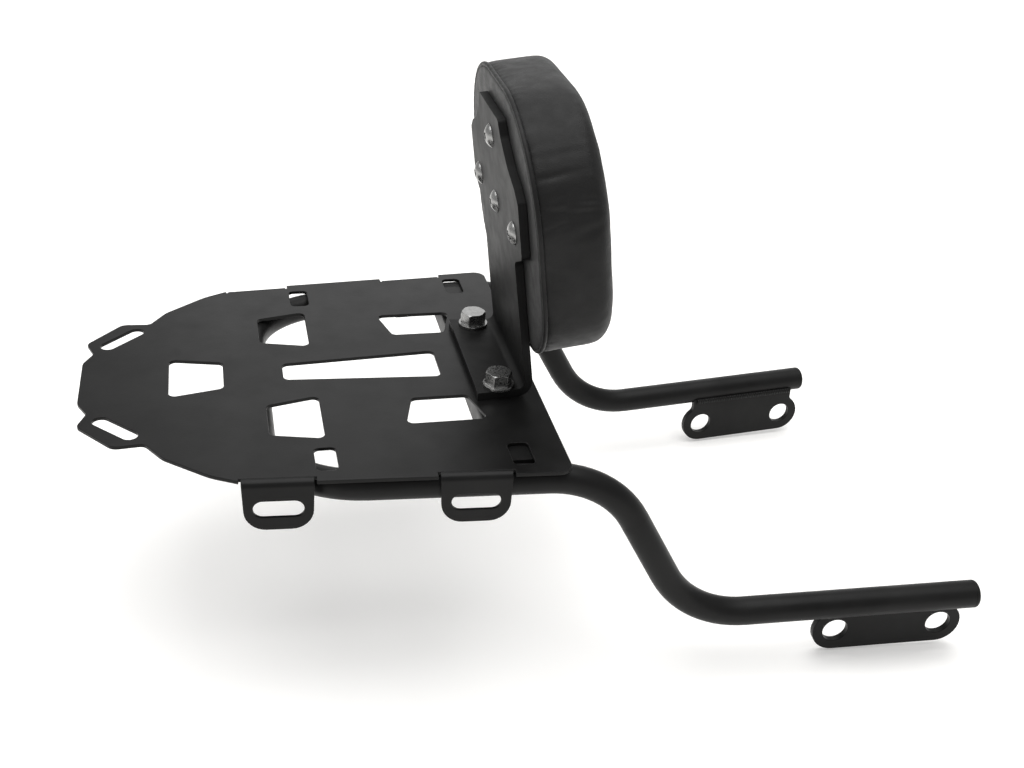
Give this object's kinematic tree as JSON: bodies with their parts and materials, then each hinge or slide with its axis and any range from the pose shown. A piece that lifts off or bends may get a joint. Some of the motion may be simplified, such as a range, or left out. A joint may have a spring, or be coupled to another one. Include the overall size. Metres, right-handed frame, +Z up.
{
  "type": "motorcycle backrest with luggage rack",
  "caption": "Black motorcycle luggage rack of bent tube and slotted plate, with an upholstered backrest pad on an upright bracket.",
  "frame": {"origin": "the middle of the four holes in the two mount plates", "axes": "+X towards the bike's front, +Y to the bike's left, +Z up; the part is symmetric about the plane y = 0"},
  "size_m": [0.4889, 0.2698, 0.3077],
  "materials": {
    "frame_black": "satin black powder coat",
    "plate_black": "satin black powder coat",
    "vinyl_black": "grained black vinyl",
    "zinc_steel": "zinc plated steel",
    "board_wood": "plywood",
    "foam": "cut foam"
  },
  "bodies": {
    "root": {"rack_plate": "plate_black", "left_tabs": "plate_black", "right_tabs": "plate_black", "frame_tube": "frame_black", "tube_end_plugs": "frame_black", "left_mount_plate": "frame_black", "right_mount_plate": "frame_black", "cross_brace": "frame_black", "plate_welds": "frame_black", "mount_welds": "frame_black", "brace_welds": "frame_black", "backrest_bracket": "plate_black", "foot_bolts": "zinc_steel", "foot_washers": "zinc_steel", "foot_nuts": "zinc_steel", "pad_screws": "zinc_steel", "tee_nuts": "zinc_steel", "pad_board": "board_wood", "pad_foam": "foam", "pad_cover": "vinyl_black", "pad_welt": "vinyl_black", "pad_back_cover": "vinyl_black"}
  },
  "joints": []
}
